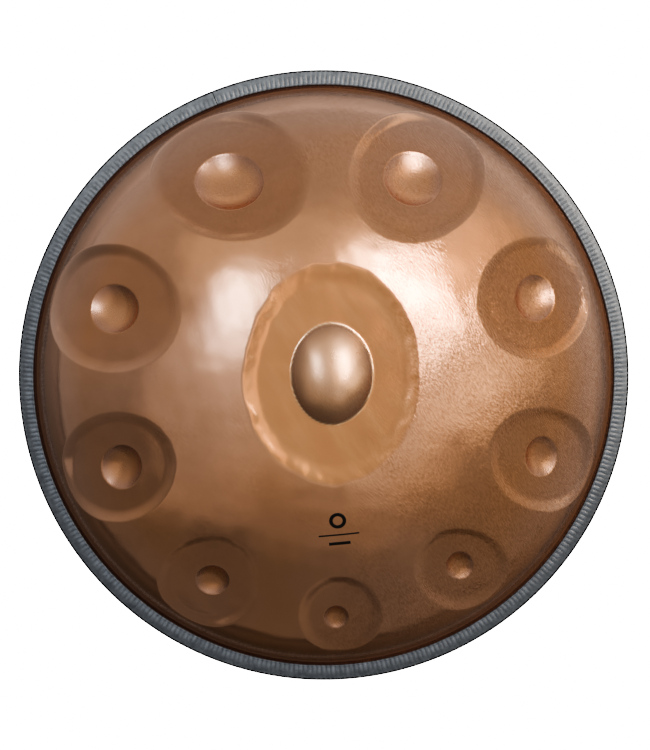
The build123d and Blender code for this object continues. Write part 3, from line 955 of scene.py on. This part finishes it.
def copper(name, scratch_depth, worked):
    """Copper-toned steel: drifting tint, uneven polish, slanting scratches, a painted reflection on
    the flank and painted shade at its foot.
    """
    nodes = Nodes(name)
    shader = nodes.shader.inputs
    across, ahead, plan = nodes.position()
    slanting = nodes.slanting()
    flank = nodes.spread(plan, 0, 1, *FLANK_RADII)
    tint = sheet_tint(nodes, across, ahead, plan)
    if worked:
        tint = note_tint(nodes, tint, slanting)
    # Painted reflection: the flank greyer, darker and less metallic
    tint = nodes.blend(flank, tint, FLANK_REFLECTION_TONE)
    # Painted shade: a dark band in the crease where the flank meets the trim
    tint = nodes.blend(nodes.spread(plan, 0, 1, *FOOT_SHADE_RADII), tint, FOOT_SHADE_TONE)
    nodes.join(nodes.spread(flank, 1.0, 0.4), shader["Metallic"])
    nodes.join(sheet_polish(nodes, flank, worked), shader["Roughness"])
    scratch = nodes.noise(1, 2, 0.5, slanting)
    patches = scratched_patches(nodes, across, worked)
    grooves = nodes.maths("MULTIPLY", nodes.spread(scratch, 0.36, 0, 0.36, 0.60), patches)
    nodes.join(nodes.blend(grooves, tint, SCRATCH_TONE), shader["Base Color"])
    relief = nodes.bump(nodes.maths("MULTIPLY", scratch, patches), scratch_depth)
    nodes.join(nodes.bump(nodes.noise(PIT_SCALE, 3, 0.6), PIT_DEPTH, relief), shader["Normal"])
    return nodes.material


def rubber(name):
    """Satin blue-black rubber with a fine grain, worn patches, painted light towards +Y and +X, and
    painted shade between the ribs.
    """
    nodes = Nodes(name)
    shader = nodes.shader.inputs
    worn = nodes.spread(nodes.noise(160, 6, 0.75), 0, 1, 0.35, 0.7)
    across, ahead, plan = nodes.position()
    # Painted light: paler rubber towards +Y and +X, where the light falls
    slant = nodes.maths("ADD", ahead, nodes.maths("MULTIPLY", across, 0.4))
    lit_side = nodes.spread(slant, 0, 0.45, -0.04, 0.14)
    outer = nodes.spread(plan, 0, 1, *RUBBER_OUTER_RADII)
    tint = nodes.blend(outer, nodes.blend(worn, *RUBBER_INNER), nodes.blend(worn, *RUBBER_OUTER))
    tint = nodes.blend(lit_side, tint, nodes.blend(worn, *RUBBER_LIT_SIDE))
    # Painted shade: darker between the ribs
    nodes.join(nodes.blend(nodes.attribute("valley"), tint, RUBBER_VALLEY_SHADE_TONE), shader["Base Color"])
    nodes.join(nodes.spread(nodes.noise(300, 3), 0.26, 0.42, 0.3, 0.7), shader["Roughness"])
    shader["Specular IOR Level"].default_value = 0.8
    nodes.join(nodes.bump(nodes.noise(900, 4, 0.7), 0.10 * MM), shader["Normal"])
    return nodes.material


def rubber_shaded_edge(name):
    """Painted shade: the matt black band round the outer edge of the trim."""
    nodes = Nodes(name)
    shader = nodes.shader.inputs
    nodes.join(nodes.blend(nodes.noise(400, 3), *EDGE_SHADE_TONES), shader["Base Color"])
    nodes.join(nodes.spread(nodes.noise(300, 2), 0.8, 1.0), shader["Roughness"])
    shader["Specular IOR Level"].default_value = 0.05
    return nodes.material


def plain(name, tones, roughness, grain, metallic=0.0):
    """Small or hidden pieces: two close tones, a grain in metres and an uneven finish."""
    nodes = Nodes(name)
    shader = nodes.shader.inputs
    shader["Metallic"].default_value = metallic
    nodes.join(nodes.blend(nodes.noise(250, 4), *tones), shader["Base Color"])
    uneven = nodes.spread(nodes.noise(500, 3), roughness - 0.08, roughness + 0.08)
    nodes.join(uneven, shader["Roughness"])
    nodes.join(nodes.bump(nodes.noise(900, 3), grain), shader["Normal"])
    return nodes.material


# --- Pieces ---
CEMENT_TONES = ((0.01, 0.01, 0.01), (0.03, 0.03, 0.03))
INK_TONES = ((0.008, 0.008, 0.008), (0.02, 0.018, 0.016))
EPOXY_TONES = ((0.05, 0.05, 0.05), (0.12, 0.11, 0.10))
STEEL_TONES = ((0.42, 0.42, 0.43), (0.58, 0.58, 0.60))

top_copper = copper("copper_top", TOP_SCRATCH_DEPTH, True)
bottom_copper = copper("copper_bottom", BOTTOM_SCRATCH_DEPTH, False)
cement = plain("joint_cement", CEMENT_TONES, 0.4, 0.05 * MM)
ink = plain("mark_ink", INK_TONES, 0.45, 0.02 * MM)

PIECES = [
    (build_top_shell(top_copper), "top_shell", "top_sheet"),
    (build_bottom_shell(bottom_copper), "bottom_shell", "bottom_sheet"),
    (build_edge_trim(rubber("trim_rubber"), rubber_shaded_edge("trim_shaded_edge")), "edge_trim", "trim_rubber"),
    (build_joint_bond(cement), "trim_joint_bond", "joint_bond"),
    (build_mark(ink), "printed_mark", "ink"),
]
for piece, node, slot in PIECES:
    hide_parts(node)
    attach(piece, "root")

HIDDEN = {
    "flange_adhesive": plain("cured_epoxy", EPOXY_TONES, 0.5, 0.1 * MM),
    "trim_core": plain("strip_steel", STEEL_TONES, 0.38, 0.03 * MM, 1.0),
}
for node, material in HIDDEN.items():
    for holder in frame["nodes"][node].material_slots:
        holder.material = material


# --- Studio ---
FLOOR_HALF_SIZE = 6.0
WHITE = 5.0                  # radiance that the camera sees as plain white
SHADOW_REACH = 0.12          # how far from the instrument the floor darkens

# World brightness: axis of the direction, where the ramp starts and ends, and its two values
SKY_RAMPS = [
    ("Y", -0.7, 0.7, 0.165, 0.36),
    ("X", -0.3, 0.9, 0.0, 0.08),
    ("Z", 0.7, 1.0, 0.0, 0.20),
    ("Z", 0.0, 0.25, 0.02, 0.0),
]


def floor_tone(nodes):
    """Grey of the floor as the metal reflects it: darker in front, and darker close to the instrument
    as painted shade.
    """
    across, ahead, plan = nodes.position()
    slant = nodes.maths("ADD", ahead, nodes.maths("MULTIPLY", across, 0.45))
    near_tone = nodes.spread(slant, 0.06, 0.52, -0.6, 0.6)
    far_tone = nodes.spread(slant, 0.16, 0.90, -1.5, 1.5)
    # Painted shade: the floor's tone darker close to the instrument
    return nodes.blend(nodes.spread(plan, 0, 1, 0.35, 1.3), near_tone, far_tone)


def build_floor():
    """Plain pale floor, white to the camera apart from the soft dark under the instrument."""
    size = FLOOR_HALF_SIZE
    corners = [(-size, -size, 0), (size, -size, 0), (size, size, 0), (-size, size, 0)]
    nodes = Nodes("studio_floor")
    matt = nodes.add("ShaderNodeBsdfDiffuse")
    nodes.join(floor_tone(nodes), matt.inputs["Color"])
    white = nodes.add("ShaderNodeEmission")
    near = nodes.add("ShaderNodeAmbientOcclusion", samples=8)
    near.inputs["Distance"].default_value = SHADOW_REACH
    nodes.join(nodes.spread(near.outputs["AO"], 0.25, WHITE, 0.2, 0.8), white.inputs["Strength"])
    path = nodes.add("ShaderNodeLightPath")
    mix = nodes.add("ShaderNodeMixShader")
    nodes.join(path.outputs["Is Camera Ray"], mix.inputs[0])
    nodes.join(matt.outputs[0], mix.inputs[1])
    nodes.join(white.outputs[0], mix.inputs[2])
    nodes.join(mix.outputs[0], nodes.tree.nodes["Material Output"].inputs["Surface"])
    nodes.tree.nodes.remove(nodes.shader)
    floor = make_mesh("studio_floor", corners, [(0, 1, 2, 3)], nodes.material, flat=True)


def build_world():
    """Soft studio surroundings: brighter behind the instrument and overhead, darker in front."""
    world = bpy.data.worlds.new("studio")
    world.use_nodes = True
    bpy.context.scene.world = world
    nodes = world.node_tree.nodes
    links = world.node_tree.links
    nodes["Background"].inputs["Color"].default_value = (1, 1, 1, 1)
    place = nodes.new("ShaderNodeTexCoord")
    parts = nodes.new("ShaderNodeSeparateXYZ")
    links.new(place.outputs["Generated"], parts.inputs[0])
    path = nodes.new("ShaderNodeLightPath")
    pick = nodes.new("ShaderNodeMix")
    links.new(path.outputs["Is Camera Ray"], pick.inputs[0])
    pick.inputs[3].default_value = WHITE
    links.new(pick.outputs[0], nodes["Background"].inputs["Strength"])
    total = None
    for axis, *values in SKY_RAMPS:
        ramp = nodes.new("ShaderNodeMapRange")
        ramp.interpolation_type = "SMOOTHSTEP"
        for key, number in zip(RANGE_INPUTS, values):
            ramp.inputs[key].default_value = number
        links.new(parts.outputs[axis], ramp.inputs["Value"])
        add = nodes.new("ShaderNodeMath")
        links.new(ramp.outputs["Result"], add.inputs[0])
        add.inputs[1].default_value = 0.0
        if total is not None:
            links.new(total, add.inputs[1])
        total = add.outputs[0]
    links.new(total, pick.inputs[2])


def build_softbox(name, tilt_x, tilt_y, width, depth, turn, radiance, colour):
    """Soft light in a direction from the instrument; tilts, size and turn are in degrees."""
    direction = Vector((tan(radians(tilt_x)), tan(radians(tilt_y)), 1)).normalized()
    data = bpy.data.lights.new(name, "AREA")
    data.shape = "RECTANGLE"
    data.size = 2 * SOFTBOX_DISTANCE * tan(radians(width / 2))
    data.size_y = 2 * SOFTBOX_DISTANCE * tan(radians(depth / 2))
    data.energy = radiance * pi * data.size * data.size_y
    data.color = colour
    light = bpy.data.objects.new(name, data)
    bpy.context.scene.collection.objects.link(light)
    light.location = Vector((0, 0, TOP_APEX)) + direction * SOFTBOX_DISTANCE
    aside = (Vector((1, 0, 0)) - direction * direction.x).normalized()
    axes = Matrix((aside, direction.cross(aside), direction)).transposed()
    light.rotation_euler = (axes @ Matrix.Rotation(radians(turn), 3, "Z")).to_euler()
    light.visible_camera = False


SOFTBOX_DISTANCE = 2.6
BRIGHT = (1.0, 0.90, 0.84)
WARM = (1.0, 0.86, 0.62)
PALE = (1.0, 0.94, 0.88)
GOLD = (1.0, 0.66, 0.26)
SOFT = (0.92, 0.97, 1.10)
# name, sideways and forward tilt of its middle, width, depth, turn, radiance, colour
SOFTBOXES = [
    ("left_core", -28.5, 24.5, 8.5, 17, -12, 2.4, SOFT),
    ("left_halo", -28.5, 19, 17, 26, -12, 0.65, SOFT),
    ("right_core", 29.4, 26.9, 24, 8.6, -46, 11.0, BRIGHT),
    ("right_tail", 35.5, 11, 6.5, 11, 0, 5.5, BRIGHT),
    ("right_halo", 34, 25, 21, 31, 0, 0.65, GOLD),
    ("right_low", 54, 49, 22, 26, 0, 0.42, GOLD),
    ("right_fill", 51, -3, 24, 20, 0, 0.88, WARM),
    ("right_glow", 18, 6, 14, 26, 0, 0.40, GOLD),
    ("front_glow", 26, -26, 30, 26, 0, 0.20, PALE),
    ("front_fill", 8, -38, 54, 36, 0, 0.07, PALE),
    ("back_glow", 4, 22, 20, 10, 0, 0.30, GOLD),
    ("back_fill", -16, 42, 58, 22, 0, 0.16, WARM),
    ("left_fill", -40, -18, 38, 56, -6, 0.15, PALE),
    ("back_strip", 16, 36.5, 11, 8.5, 0, 3.0, BRIGHT),
]


SENSOR_HEIGHT = 36           # millimetres, as is the focal length
LENS = 104.0
CAMERA_HEIGHT = 1.9          # above the middle of the rim
CAMERA_SHIFT = (1.16 * MM, -0.04 * MM)


def build_camera():
    """Camera straight above the rim's middle, at the distance that frames the whole rim."""
    data = bpy.data.cameras.new("camera")
    data.sensor_fit = "VERTICAL"
    data.sensor_height = SENSOR_HEIGHT
    data.lens = LENS
    camera = bpy.data.objects.new("camera", data)
    camera.location = (*CAMERA_SHIFT, (RIM_TOP + RIM_BOTTOM) / 2 + CAMERA_HEIGHT)
    bpy.context.scene.collection.objects.link(camera)
    bpy.context.scene.camera = camera


build_floor()
build_world()
for row in SOFTBOXES:
    build_softbox(*row)
build_camera()
settings = bpy.context.scene.view_settings
settings.view_transform = "AgX"
settings.look = "AgX - Very High Contrast"
